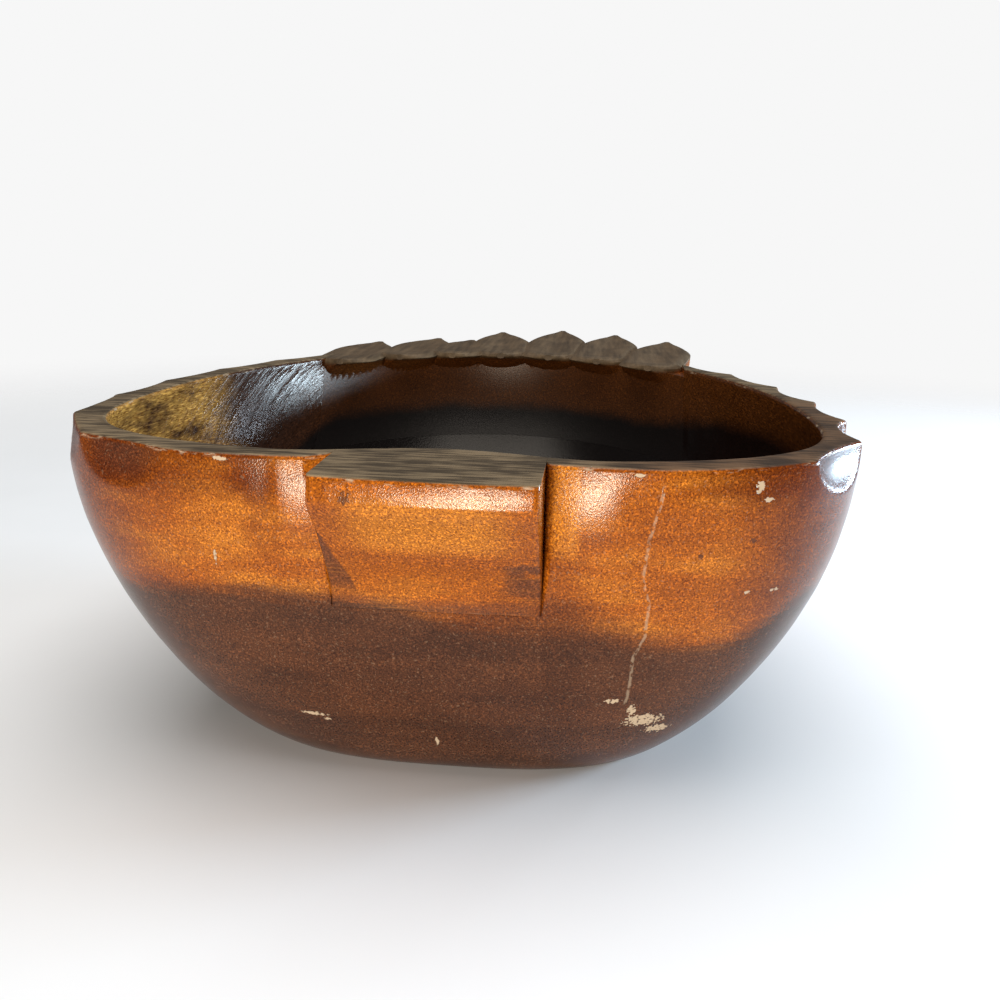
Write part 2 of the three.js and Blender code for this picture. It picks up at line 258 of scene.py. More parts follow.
def dress(piece, finish):
    mesh = piece.data
    turn_outward(mesh)
    mesh.materials.clear()
    mesh.materials.append(finish)
    mesh.shade_smooth()
    mesh.set_sharp_from_angle(angle=SHARP_ANGLE)


def mark(piece, name, values):
    """Keeps one number for each vertex, for the piece's finish to read."""
    attribute = piece.data.attributes.new(name, "FLOAT", "POINT")
    attribute.data.foreach_set("value", np.asarray(values, np.float32))


# Bowl body: one grid from the foot up the outside, over the rim and down the inside, with two seats cut in it

RIM_ROUND = 1.3
RIM_TURNS = np.radians([25.0, 50.0, 72.0, 90.0])
CORNER_ROUND = 1.4  # of the wall's edges at the stem's joints
LEFT_FALL = (2.0, 13.0, 1.25)  # depth, width and curve of the wall's fall to the stem's left joint
RIGHT_FALL = (3.4, 20.0, 2.0)
CORNER_NICK = 4.0  # opens the top of the joint at the left of the stem
NICK_DROP = 8.0
FLUTE_AWAY = 15.5  # shallow upright flute beside the stem, from its left joint
FLUTE_WIDTH = 3.2
FLUTE_DEPTH = 0.2
ROLL_RADIUS = 105.0  # the wall's outside rolls in towards the rim, most of all beside the stem
ROLL_DROP = 27.0
ROLL_REST = 0.35
NICK_WIDTH = 6.0
CORNER_RISE = (-6.0, 16.0)  # heights above the seat where the falls start and are full
FLUTE_RISE = 12.0
ROLL_AWAY = (8.0, 34.0)  # distances from the stem where the roll starts to rest and rests
SLACK = 0.01  # for points that lie on a joint

# How far the wall wavers, the size of its waves and their seed
WALL_WAVER = (0.3, 26.0, 1)
TOOL_WAVER = (0.1, 7.0, 2)
OUTSIDE_CALM = (1.0, 8.0)  # heights where the waver starts and is full
INSIDE_CALM = (20.0, 50.0)
SEAT_MARGIN = 1.0
WIDEST_BAND = (10.0, 1.0)  # distances from the widest points where the waver fades and ends

# Steps of the grid along the rim
SEAT_STEP = 2.5
FINE_REACH = 16.0
FINE_STEP = 0.5
WALL_STEP = 1.6
SCALLOP_STEPS = 16
CROWN_STEP = 3.0
STEM_HOLD = (1.0, 26.0)  # distances from a seat where columns start to lean and lean fully
CROWN_HOLD = (1.0, 16.0)
HOLD_BELOW = (30.0, 2.0)  # depths below a seat between which they turn upright

# Rows of the grid
FOOT_ROWS = [0.0, 0.3, 0.8, 1.6, 2.6, 4.0, 5.6, 7.5]
LOW_START = 9.5
LOW_STEP = 2.2
MIDDLE_STEP = 2.0
TOP_BAND = 18.0
TOP_STEP = 1.0
INNER_LOW_STEPS = 21
INNER_LOW_CURVE = 1.6
RIM_FLAT_STEPS = 7
FLOOR_RINGS = (0.8, 0.6, 0.4, 0.2)


def spaced(start, end, step):
    return list(np.linspace(start, end, max(1, round(abs(end - start) / step)), endpoint=False))


def crowded(start, end, count):
    """Places that crowd towards both ends, so that a carved edge between them stays crisp."""
    share = (1 - np.cos(np.linspace(0, math.pi, count, endpoint=False))) / 2
    return list(start + (end - start) * share)


def rim_columns():
    """Signed distances along the rim for the grid's columns, once round."""

    def side(seat_edge, start):
        made = spaced(0.0, seat_edge, SEAT_STEP)
        made += spaced(seat_edge, seat_edge + FINE_REACH, FINE_STEP)
        made += spaced(seat_edge + FINE_REACH, start, WALL_STEP)
        for i in range(round((CROWN_ARC - start) / SCALLOP_PITCH)):
            made += crowded(start + i * SCALLOP_PITCH, start + (i + 1) * SCALLOP_PITCH, SCALLOP_STEPS)
        return made + spaced(CROWN_ARC, HALF_RIM, CROWN_STEP)

    right = side(arc_at_x(STEM_RIGHT), SCALLOP_START)
    left = side(-arc_at_x(STEM_LEFT), LEFT_START)
    return np.array(right + [HALF_RIM] + [-arc for arc in reversed(left[1:])])


def seat_hold(rim_x, rim_y, z):
    """How far a column keeps its x at a height, so that it runs upright along a seat's side."""
    from_stem = np.maximum(np.maximum(STEM_LEFT - rim_x, rim_x - STEM_RIGHT), 0.0)
    from_crown = np.maximum(np.abs(rim_x) - CROWN_HALF, 0.0)
    stem = np.where(rim_y < 0, 1 - smoothstep(*STEM_HOLD, from_stem), 0.0)
    crown = np.where(rim_y > 0, 1 - smoothstep(*CROWN_HOLD, from_crown), 0.0)
    stem_rows = smoothstep(*(STEM_FLOOR - depth for depth in HOLD_BELOW), z)
    crown_rows = smoothstep(*(CROWN_FLOOR - depth for depth in HOLD_BELOW), z)
    return stem * stem_rows + crown * crown_rows


def wall_surface(columns, z, egg_of):
    """x and y of the wall's outer or inner face, for every height and column."""
    turns = turn_at_arc(columns)[None, :]
    egg = egg_of(z)[:, None, :]
    rim_x, rim_y = egg_point(RIM_EGG, turns)
    x, y = egg_point(egg, turns)
    hold = seat_hold(rim_x, rim_y, z[:, None])
    held = x + (rim_x - x) * hold
    return held, np.where(hold > 0, egg_edge(egg, held, np.sign(rim_y)), y)


def stem_corners(x, y, z):
    """Depth carved from the wall beside and below the stem block."""
    upright = smoothstep(*(STEM_FLOOR + rise for rise in CORNER_RISE), z)
    away = STEM_LEFT - x
    beyond = np.maximum(away, x - STEM_RIGHT)
    falls = zip(LEFT_FALL, RIGHT_FALL)
    fall, width, curve = (np.where(x > STEM_MIDDLE, right, left) for left, right in falls)
    corner = np.clip(beyond, 0.0, CORNER_ROUND)
    depth = fall * (1 - clamp(beyond / width)) ** curve
    depth = depth + CORNER_ROUND - np.sqrt(corner * (2 * CORNER_ROUND - corner))
    depth = np.where(beyond > -SLACK, depth * upright, 0.0)
    nick = CORNER_NICK * clamp(1 - away / NICK_WIDTH)
    nick = nick * smoothstep(RIM_Z - NICK_DROP, RIM_Z, z)
    depth = depth + np.where(away > -SLACK, nick, 0.0)
    flute = FLUTE_DEPTH * np.exp(-(((away - FLUTE_AWAY) / FLUTE_WIDTH) ** 2))
    depth = depth + flute * smoothstep(STEM_FLOOR, STEM_FLOOR + FLUTE_RISE, z)
    rolled = np.clip(z - (RIM_Z - ROLL_DROP), 0.0, ROLL_DROP)
    roll = ROLL_RADIUS - np.sqrt(ROLL_RADIUS**2 - rolled**2)
    depth = depth + roll * (ROLL_REST + (1 - ROLL_REST) * (1 - smoothstep(*ROLL_AWAY, beyond)))
    return np.where(y < 0, depth, 0.0)


def bowl_heights():
    """Heights of the grid's rows on the outside, going up, and on the inside, going down."""
    low = spaced(LOW_START, STEM_FLOOR, LOW_STEP)
    middle = [STEM_FLOOR] + spaced(CROWN_FLOOR, RIM_Z - TOP_BAND, MIDDLE_STEP)
    top = spaced(RIM_Z - TOP_BAND, RIM_Z - RIM_ROUND, TOP_STEP) + [RIM_Z - RIM_ROUND]
    outer = np.array(FOOT_ROWS + low + middle + top)
    shares = np.linspace(1.0, 0.0, INNER_LOW_STEPS + 1)[1:] ** INNER_LOW_CURVE
    inner_low = FLOOR_Z + (STEM_FLOOR - FLOOR_Z) * shares
    inner = np.array(list(reversed(middle + top)) + list(inner_low))
    return outer, inner


def bowl_rows():
    """The grid's columns, its rows as points, their gouges and heights, and the first row inside."""
    columns = rim_columns()
    outer_z, inner_z = bowl_heights()
    x, y = wall_surface(columns, outer_z, outer_egg)
    drop = RIM_Z - outer_z[:, None]
    egg = outer_egg(outer_z)[:, None, :]
    from_axis, from_line = x - egg[..., 4], y - egg[..., 3]
    gouged = scallop(columns[None, :], drop)
    gouge = gouged / np.hypot(from_axis, from_line)
    x, y = x - from_axis * gouge, y - from_line * gouge
    y = y + stem_corners(x, y, outer_z[:, None])
    outer = np.stack([x, y, np.broadcast_to(outer_z[:, None], x.shape)], axis=-1)
    x, y = wall_surface(columns, inner_z, inner_egg)
    y = y + swell(x, y, RIM_Z - inner_z[:, None])
    inner = np.stack([x, y, np.broadcast_to(inner_z[:, None], x.shape)], axis=-1)
    waver(outer, OUTSIDE_CALM)
    waver(inner, INSIDE_CALM)
    edge_out, edge_in = outer[-1], inner[0]
    across = edge_in - edge_out
    across /= np.linalg.norm(across, axis=-1, keepdims=True)
    rim = [edge_out + RIM_ROUND * (across * (1 - math.cos(a)) + UP * math.sin(a)) for a in RIM_TURNS]
    end = [edge_in + RIM_ROUND * (-across * (1 - math.cos(a)) + UP * math.sin(a)) for a in RIM_TURNS[::-1]]
    flat_shares = np.linspace(0, 1, RIM_FLAT_STEPS + 1)[1:-1]
    flat = [rim[-1] + (end[0] - rim[-1]) * share for share in flat_shares]
    floor = inner[-1].mean(axis=0)
    rings = [floor + (inner[-1] - floor) * share for share in FLOOR_RINGS]
    rows = [*outer, *rim, *flat, *end, *inner, *rings]
    first_inner = len(outer) + len(rim) + len(flat) + len(end)
    return columns, np.array(rows), gouged, outer_z, inner_z, first_inner


def waver(face, calm):
    """Pushes a face in and out a little, as hand work does, but not near its foot or at the seats."""
    points = face.reshape(-1, 3)
    push = wavered(points, (WALL_WAVER, TOOL_WAVER))
    x, y, z = points.T
    at_stem = (y < 0) & (x > STEM_LEFT - SEAT_MARGIN) & (x < STEM_RIGHT + SEAT_MARGIN)
    at_crown = (y > 0) & (np.abs(x) < CROWN_HALF + SEAT_MARGIN)
    push = np.where(at_stem | at_crown, 0.0, push) * smoothstep(*calm, z)
    widest = smoothstep(*(RIM_EGG[0] - distance for distance in WIDEST_BAND), np.abs(x))
    push = np.where(push > 0, push * (1 - widest), push)
    away = np.stack([x, y, np.zeros_like(x)], axis=-1)
    away /= np.linalg.norm(away, axis=-1, keepdims=True)
    face += (away * push[:, None]).reshape(face.shape)


def carved_bowl(finish):
    columns, rows, gouged, outer_z, inner_z, first_inner = bowl_rows()
    row_count, column_count = rows.shape[:2]
    seats = []
    for edges, floor in (
        ((arc_at_x(STEM_LEFT), arc_at_x(STEM_RIGHT)), STEM_FLOOR),
        ((CROWN_ARC, -CROWN_ARC), CROWN_FLOOR),
    ):
        start, end = (int(np.argmin(np.abs(columns - edge))) for edge in edges)
        cells = [(start + i) % column_count for i in range((end - start) % column_count)]
        lower = int(np.argmin(np.abs(outer_z - floor)))
        upper = first_inner + int(np.argmin(np.abs(inner_z - floor)))
        seats.append((start, end, cells, lower, upper))

    at = lambda row, column: row * column_count + column % column_count
    keep = np.ones((row_count - 1, column_count), bool)
    faces = []
    for start, end, cells, lower, upper in seats:
        keep[lower:upper, cells] = False
        faces += [(at(lower, c), at(lower, c + 1), at(upper, c + 1), at(upper, c)) for c in cells]
        faces += [tuple(at(row, c) for row in range(lower, upper + 1)) for c in (start, end)]
    faces += [
        (at(r, c), at(r, c + 1), at(r + 1, c + 1), at(r + 1, c)) for r, c in zip(*np.nonzero(keep))
    ]
    points = list(rows.reshape(-1, 3))
    for row in (0, row_count - 1):
        points.append(rows[row].mean(axis=0))
        hub = len(points) - 1
        faces += [(at(row, c), at(row, c + 1), hub) for c in range(column_count)]
    hollow = np.repeat(np.arange(row_count) >= first_inner - len(RIM_TURNS), column_count).astype(float)
    hollow = np.concatenate([hollow, [0.0, 1.0]])
    used = np.unique(np.concatenate([np.array(face) for face in faces]))
    number = np.zeros(len(points), int)
    number[used] = np.arange(len(used))
    faces = [tuple(int(number[i]) for i in face) for face in faces]
    piece = new_piece("carved_bowl", metres(np.array(points)[used]), faces, "bowl_body", finish)
    mark(piece, "hollow", hollow[used])
    gouge = np.zeros(len(points))
    gouge[: gouged.size] = clamp(gouged.ravel() / LEFT_SCALLOP_DEPTH)
    mark(piece, "gouge", gouge[used])


# Stem block: a lip over a hollowed panel, in one piece with its stretch of the wall

# Reach beyond the wall's outside and drop below the rim, from the seat up to the top of the lip
STEM_FACE = [
    (0, 39.94), (-0.25, 38), (-0.4, 36), (-0.2, 34), (0.6, 31.5),
    (1.7, 29.2), (3.1, 26.8), (4.6, 24.4), (6.2, 21.8), (7.9, 19),
    (9.9, 16.2), (12.3, 13.4), (14.7, 10.8), (16.6, 8.6), (17.8, 6.6),
    (17.75, 5), (17.45, 3.3), (17.1, 1.8), (16.8, 0.8), (16.3, 0),
]
LIP_LEFT_SHARE = 0.90  # the lip reaches less at its left end
LIP_CREST = 19.0  # and most at this x
STEM_CORNER = 1.2
STEM_LOOPS = 64
FACE_STEPS = 5
STEM_INSIDE_TOP = 2.0
STEM_INSIDE_ROWS = 20
STEM_FLAT_STEPS = 15
FACE_WAVER = (0.22, 14.0, 4)  # as for the bowl
FACE_TOOL_WAVER = (0.08, 4.0, 5)


def smooth_path(points, steps):
    """A smooth path through points, as a Catmull-Rom curve."""
    p = np.array(points, float)
    p = np.vstack([2 * p[0] - p[1], p, 2 * p[-1] - p[-2]])
    t = np.linspace(0, 1, steps, endpoint=False)[:, None]
    made = []
    for a, b, c, d in zip(p, p[1:], p[2:], p[3:]):
        bend = (2 * a - 5 * b + 4 * c - d) * t**2 + (3 * b - a - 3 * c + d) * t**3
        made.append((2 * b + (c - a) * t + bend) / 2)
    return np.vstack(made + [p[-2:-1]])


def carved_stem(finish):
    left, right = STEM_LEFT + GLUE_LINE, STEM_RIGHT - GLUE_LINE
    face = smooth_path(STEM_FACE, FACE_STEPS)
    inside = np.linspace(RIM_Z - STEM_INSIDE_TOP, STEM_FLOOR + GLUE_LINE, STEM_INSIDE_ROWS)
    inner_z = np.concatenate([[RIM_Z - RIM_ROUND], inside])
    loops = []
    for x in crowded(left, right, STEM_LOOPS) + [right]:
        lip_share = 1 - (1 - LIP_LEFT_SHARE) * ((LIP_CREST - x) / (LIP_CREST - left)) ** 2
        corner = max(0.0, STEM_CORNER - min(x - left, right - x))
        corner = STEM_CORNER - math.sqrt(max(0.0, STEM_CORNER**2 - corner**2))
        edge = egg_edge(outer_egg(RIM_Z - face[:, 1]), x, -1)
        reach = np.where(face[:, 0] > 0, face[:, 0] * lip_share, face[:, 0]) - corner
        outer = np.stack([edge - reach, RIM_Z - face[:, 1]], axis=-1)
        inner_y = egg_edge(inner_egg(inner_z), x, -1)
        inner_y = inner_y + swell(x, inner_y, RIM_Z - inner_z)
        inner = np.stack([inner_y, inner_z], axis=-1)
        lip = outer[-1]
        turn = [
            (inner_y[0] - RIM_ROUND * (1 - math.cos(a)), RIM_Z - RIM_ROUND * (1 - math.sin(a)))
            for a in RIM_TURNS[::-1]
        ]
        flat_shares = np.linspace(0, 1, STEM_FLAT_STEPS + 1)[1:-1]
        flat = [lip + (np.array(turn[0]) - lip) * share for share in flat_shares]
        loop = np.vstack([outer, flat, turn, inner])
        loops.append(np.column_stack([np.full(len(loop), x), loop]))
    loops = np.array(loops)
    face_rows = loops[:, : len(face)]
    push = wavered(face_rows.reshape(-1, 3), (FACE_WAVER, FACE_TOOL_WAVER))
    face_rows[..., 1] += np.abs(push).reshape(face_rows.shape[:2])
    points, faces = closed_loft(loops)
    piece = new_piece("carved_stem", metres(points), faces, "stem_block", finish)
    hollow = np.zeros(loops.shape[:2])
    hollow[:, -len(inner_z):] = 1.0
    mark(piece, "hollow", hollow.ravel())


def closed_loft(loops):
    """A closed mesh through loops of points, with one flat face over the first loop and the last."""
    loop_count, count = loops.shape[:2]
    at = lambda loop, i: loop * count + i % count
    faces = [
        (at(k, i), at(k, i + 1), at(k + 1, i + 1), at(k + 1, i))
        for k in range(loop_count - 1)
        for i in range(count)
    ]
    faces.append(tuple(at(0, i) for i in range(count)))
    faces.append(tuple(at(loop_count - 1, i) for i in range(count)))
    return loops.reshape(-1, 3), faces


# Crown: pointed, keeled leaves through their own stretch of the wall

LEAF_PITCH = 2 * CROWN_HALF / len(LEAF_LENGTHS)
LEAF_CHANNEL = 0.6
CHANNEL_WIDTH = 0.42  # of a leaf's half width
CHANNEL_START = (6.0, 16.0)  # distances from the foot where the channel starts and is full
CHANNEL_END = 12.0  # and its fade towards the tip
LEAF_EDGE = 1.5  # drop of a leaf's rounded edges
LIP_THICKNESS = 2.4  # of the leaves' feet where they overhang the hollow
LEAF_BEVEL = 3.2
BEVEL_CURVE = 1.4
TAPER_CURVE = 1.7
CORBEL_CURVE = 1.5
KEEL_CURVE = 0.8
KEEL_SLOPE = 4.0  # how fast a leaf deepens outside the hollow
FOOT_SHARE = 0.14  # of a leaf's length, with closer loops
FOOT_LOOPS = 12
LEAF_LOOPS = 44
TOP_POINTS = 25
UNDER_STEPS = 18
WALL_ROWS = 14
WALL_LOOPS = 79
WALL_SINK = 3.2  # of the wall's top under the leaves
CORNER_POINTS = 40
CORNER_ABOVE = 20.0


def leaf_half_width(along, length):
    share = along / length
    half = (LEAF_PITCH + LEAF_OVERLAP) / 2 * (1 + LEAF_SPREAD * share)
    foot = clamp(along / LOBE_REACH)
    rounded = half * np.sqrt(1 - (1 - foot) ** 2)
    taper = clamp((share - LEAF_SHOULDER) / (1 - LEAF_SHOULDER)) ** TAPER_CURVE
    return np.maximum(LEAF_TIP_WIDTH / 2, rounded + (LEAF_TIP_WIDTH / 2 - rounded) * taper)


def leaf_depth(along, length, inside):
    """Depth of a leaf's keel along it, thinned to a lip by how far a point lies inside the hollow."""
    wall_end = LOBE_REACH + RIM_WALL
    outward = np.sqrt(clamp((along - wall_end) / (length - wall_end)))
    keel = LEAF_ROOT_DEPTH + (LEAF_TIP_DEPTH - LEAF_ROOT_DEPTH) * outward
    rest = (1 - smoothstep(0.0, LOBE_REACH, inside)) ** CORBEL_CURVE
    corbel = LIP_THICKNESS + (LOBE_DEPTH - LIP_THICKNESS) * rest
    return np.where(inside > 0, corbel, np.minimum(keel, LOBE_DEPTH - inside * KEEL_SLOPE))


def leaf_loops(index):
    length = LEAF_LENGTHS[index]
    place = index - (len(LEAF_LENGTHS) - 1) / 2
    turn = math.radians(LEAF_TURNS[index])
    ahead = np.array([math.sin(turn), math.cos(turn), 0.0])
    aside = np.array([math.cos(turn), -math.sin(turn), 0.0])
    x = LEAF_ROW_SHIFT + place * LEAF_PITCH
    foot = np.array([x, egg_edge(CAVITY_EGG, x, 1) - LOBE_REACH, RIM_Z])
    loops = []
    foot_shares = np.linspace(0, FOOT_SHARE, FOOT_LOOPS, endpoint=False)
    for along in length * np.concatenate([foot_shares, np.linspace(FOOT_SHARE, 1, LEAF_LOOPS)]):
        half = leaf_half_width(along, length)
        bevel = min(LEAF_BEVEL, half / 2)
        across = half * np.sin(np.linspace(-1, 1, TOP_POINTS) * math.pi / 2)
        edge = clamp((np.abs(across) - (half - bevel)) / bevel)
        chamfer = min(LEAF_EDGE, half / 2)
        middle = smoothstep(*CHANNEL_START, along) * smoothstep(0.0, CHANNEL_END, length - along)
        channel = LEAF_CHANNEL * middle * np.exp(-((across / (CHANNEL_WIDTH * half)) ** 2))
        top = np.stack([across, -chamfer * edge**BEVEL_CURVE - channel], axis=-1)
        round_under = np.linspace(0, math.pi, UNDER_STEPS + 1)[1:-1]
        sideways = half * np.cos(round_under)
        spot = foot + along * ahead + sideways[:, None] * aside
        inside = egg_edge(CAVITY_EGG, spot[:, 0], 1) - spot[:, 1]
        depth = leaf_depth(along, length, inside)
        keel = -chamfer - (depth - chamfer) * np.sin(round_under) ** KEEL_CURVE
        section = np.vstack([top, np.stack([sideways, keel], axis=-1)])
        loops.append(foot + along * ahead + section[:, :1] * aside + section[:, 1:] * UP)
    return np.array(loops)


def crown_wall_loops():
    """The stretch of the bowl's wall that the crown is carved on, up to just under the leaves."""
    half = CROWN_HALF - GLUE_LINE
    z = np.linspace(CROWN_FLOOR + GLUE_LINE, RIM_Z - WALL_SINK, WALL_ROWS)
    loops = []
    for x in np.linspace(-half, half, WALL_LOOPS):
        edges = (egg_edge(egg(z), x, 1) for egg in (outer_egg, inner_egg))
        outer, inner = (np.stack([np.full_like(z, x), edge, z], axis=-1) for edge in edges)
        loops.append(np.vstack([outer, inner[::-1]]))
    return np.array(loops)


def wall_corner(side):
    """What the seat leaves standing of the wall at one side of the crown, a gap wider all round."""
    inner = CROWN_HALF - GLUE_LINE
    x = np.linspace(inner, RIM_EGG[0] + GLUE_LINE - SLACK, CORNER_POINTS)
    y = egg_edge(RIM_EGG + GLUE_LINE * DRAWN_IN, x, 1)
    outline = np.vstack([np.stack([x, y], axis=-1), [[x[-1], 0.0], [inner, 0.0]]])
    outline[:, 0] *= side
    heights = (0.0, RIM_Z + CORNER_ABOVE)
    return np.array([np.column_stack([outline, np.full(len(outline), z)]) for z in heights])


def solid_object(name, loops):
    points, faces = closed_loft(loops)
    mesh = new_mesh(name, metres(points), faces)
    turn_outward(mesh, most_corners=4)
    return linked(name, mesh)


def carved_crown(finish):
    wall = solid_object("crown_wall", crown_wall_loops())
    leaves = [solid_object(f"leaf_{i}", leaf_loops(i)) for i in range(len(LEAF_LENGTHS))]
    corners = [solid_object(f"corner_{i}", wall_corner(side)) for i, side in enumerate((-1, 1))]
    steps = [(leaf, "UNION") for leaf in leaves] + [(corner, "DIFFERENCE") for corner in corners]
    for other, operation in steps:
        cut = wall.modifiers.new(other.name, "BOOLEAN")
        cut.operation = operation
        cut.solver = "MANIFOLD"
        cut.object = other
    bpy.context.view_layer.update()
    mesh = bpy.data.meshes.new_from_object(wall.evaluated_get(bpy.context.evaluated_depsgraph_get()))
    for scrap in [wall, *leaves, *corners]:
        bpy.data.objects.remove(scrap)
    piece = linked("carved_crown", mesh)
    dress(piece, finish)
    x, y, z = ((np.array([v.co for v in mesh.vertices]) - np.array(WIDEST_LINE)) / MM).T
    mark(piece, "hollow", y < egg_edge((outer_egg(z) + inner_egg(z)) / 2, x, 1))
    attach(piece, "root")
    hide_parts("crown")


# Finishes


class Value:
    """One output socket of a finish. Arithmetic on it adds Math nodes."""

    def __init__(self, finish, socket):
        self.finish = finish
        self.socket = socket

    def math(self, operation, a, b):
        return self.finish.node("Math", {"operation": operation}, {0: a, 1: b})

    def __add__(self, other):
        return self.math("ADD", self, other)

    __radd__ = __add__

    def __sub__(self, other):
        return self.math("SUBTRACT", self, other)

    def __rsub__(self, other):
        return self.math("SUBTRACT", other, self)

    def __mul__(self, other):
        return self.math("MULTIPLY", self, other)

    __rmul__ = __mul__

    def __truediv__(self, other):
        return self.math("DIVIDE", self, other)


class Finish:
    """A material whose look is written as expressions on where a point of the wood lies, in millimetres."""

    def __init__(self, name):
        self.material = bpy.data.materials.new(name)
        self.material.use_nodes = True
        self.tree = self.material.node_tree
        self.surface = self.tree.nodes["Principled BSDF"]
        place = self.node("TexCoord", output="Object")
        place = self.vector("SUBTRACT", {0: place, 1: tuple(WIDEST_LINE)})
        self.place = self.vector("SCALE", {0: place, "Scale": 1 / MM})
        self.x, self.y, self.z = (self.along(axis) for axis in "XYZ")

    def along(self, axis):
        return self.node("SeparateXYZ", {}, {0: self.place}, axis)

    def node(self, kind, settings=None, inputs=None, output=0):
        made = self.tree.nodes.new(f"ShaderNode{kind}")
        settings = dict(settings or {})
        stops = settings.pop("stops", None)
        for name, value in settings.items():
            setattr(made, name, value)
        if stops:
            ramp = made.color_ramp.elements
            while len(ramp) < len(stops):
                ramp.new(0.5)
            for element, (place, colour) in zip(ramp, stops):
                element.position = place
                element.color = (*colour, 1.0)
        self.feed(made, inputs or {})
        return Value(self, made.outputs[output])

    def feed(self, node, inputs):
        for name, value in inputs.items():
            if isinstance(value, Value):
                self.tree.links.new(value.socket, node.inputs[name])
            else:
                node.inputs[name].default_value = value

    def vector(self, operation, inputs):
        output = "Value" if operation == "LENGTH" else "Vector"
        return self.node("VectorMath", {"operation": operation}, inputs, output)

    def fade(self, low, high, value):
        """0 below low, 1 above high and smooth between them."""
        settings = {"interpolation_type": "SMOOTHSTEP"}
        return self.node("MapRange", settings, {"Value": value, "From Min": low, "From Max": high})

    def lumps(self, name, tilt=0.0):
        """One of the named noises, from 0 to 1, tilted about x."""
        sizes, seed, detail, roughness = NOISES[name]
        place = self.place
        if tilt:
            inputs = {"Vector": place, "Angle": tilt}
            place = self.node("VectorRotate", {"rotation_type": "X_AXIS"}, inputs)
        place = self.vector("MULTIPLY", {0: place, 1: tuple(1 / size for size in sizes)})
        settings = {"noise_dimensions": "4D"}
        inputs = {"Vector": place, "W": seed, "Scale": 1.0, "Detail": detail, "Roughness": roughness}
        return self.node("TexNoise", settings, inputs)

    def mix(self, share, a, b, blend="MIX"):
        """A colour between two colours, each three numbers or a Value."""
        a, b = ((*c, 1.0) if isinstance(c, tuple) else c for c in (a, b))
        settings = {"data_type": "RGBA", "blend_type": blend}
        return self.node("Mix", settings, {0: share, 6: a, 7: b}, 2)

    def tinted(self, share, colour, tint):
        """A colour whose red, green and blue are multiplied by a tint, as far as a share says."""
        return self.mix(share, colour, self.mix(1.0, colour, tint, "MULTIPLY"))

    def mark(self, name):
        return self.node("Attribute", {"attribute_name": name}, {}, "Fac")

    def show(self, colour, roughness, **others):
        """Feeds the surface and gives the material."""
        self.feed(self.surface, {"Base Color": colour, "Roughness": roughness, **others})
        return self.material

    def relief(self, height, distance):
        """A bump of a distance in millimetres, for the Normal socket."""
        inputs = {"Height": height, "Distance": distance * MM, "Strength": 1.0}
        return self.node("Bump", {}, inputs)


# Painted shadow: these two browns stand for shade on the lower outside wall
DARK_SHADOW_WOOD = (0.046, 0.0148, 0.006)
BROWN_SHADOW_WOOD = (0.082, 0.027, 0.0098)
DEEP_AMBER = (0.185, 0.041, 0.003)
AMBER = (0.29, 0.073, 0.004)
PALE_AMBER = (0.46, 0.155, 0.014)
# dark stain of the spots, and also painted shade in the gouges and painted shadow on the stem
STAIN_AND_SHADE = (0.07, 0.022, 0.01)
# painted shadow, nearly black, low in the hollow
INSIDE_SHADOW = (0.0045, 0.0026, 0.0026)
INSIDE_BROWN = (0.075, 0.022, 0.004)
# painted light on the hollow's left wall
INSIDE_LIT_GOLD = (0.4, 0.19, 0.04)
INSIDE_PLUM = (0.04, 0.016, 0.009)
# dark grey of the worn tops, darkened as painted shade
SHADED_WORN_RIM = (0.05, 0.032, 0.0155)
PALE_RIM = (0.225, 0.158, 0.088)
BARE_WOOD = (0.46, 0.34, 0.225)
PALE_SPECK = (0.3, 0.18, 0.105)
DOWEL_PALE = (0.52, 0.34, 0.17)
DOWEL_DARK = (0.34, 0.19, 0.08)
FLOOR_GREY = (0.86, 0.86, 0.855)
FLOOR_PALE = (0.9, 0.9, 0.895)

# What a mark keeps of the red, green and blue of the colour under it
SHADE = (0.4, 0.29, 0.22)  # darkening of the wall's zones, painted shade in two of them
BROWN_TOP = (0.66, 0.5, 0.42)  # the right side of the rim's worn top
DARK_PORE = (0.44, 0.35, 0.3)
PALE_FLECK = (1.9, 1.95, 1.95)
DULL_LEAF = (0.7, 0.64, 0.6)  # the leaves' worn top, darkened further as painted shade

# Varnish, and the roughness that wear adds to it
GLOSS = 0.30
VARNISH_TINT = (1.0, 0.90, 0.78, 1.0)  # of what the varnish mirrors
VARNISH_ROUGH = 0.20
PORE_ROUGH = 0.12
TOP_ROUGH = 0.35
BARE_ROUGH = 0.3
GOUGE_ROUGH = 0.09
DULL_ROUGH = 0.1
STROKE_ROUGH = 0.5
SCRAPE_ROUGH = 0.16
LEAF_ROUGH = 0.36
LEAF_WEAR_ROUGH = 0.2
DOWEL_ROUGH = 0.6
DOWEL_GRAIN_ROUGH = 0.2
FLOOR_ROUGH = 0.75
FLOOR_SPECK_ROUGH = 0.1

# Depth of the fine relief, and how much deeper than a pore the bare spots and strokes are
PORE_RELIEF = 0.075
LEAF_RELIEF = 0.09
DOWEL_RELIEF = 0.1
BARE_DEPTH = 2.0
STROKE_DEPTH = 5.5

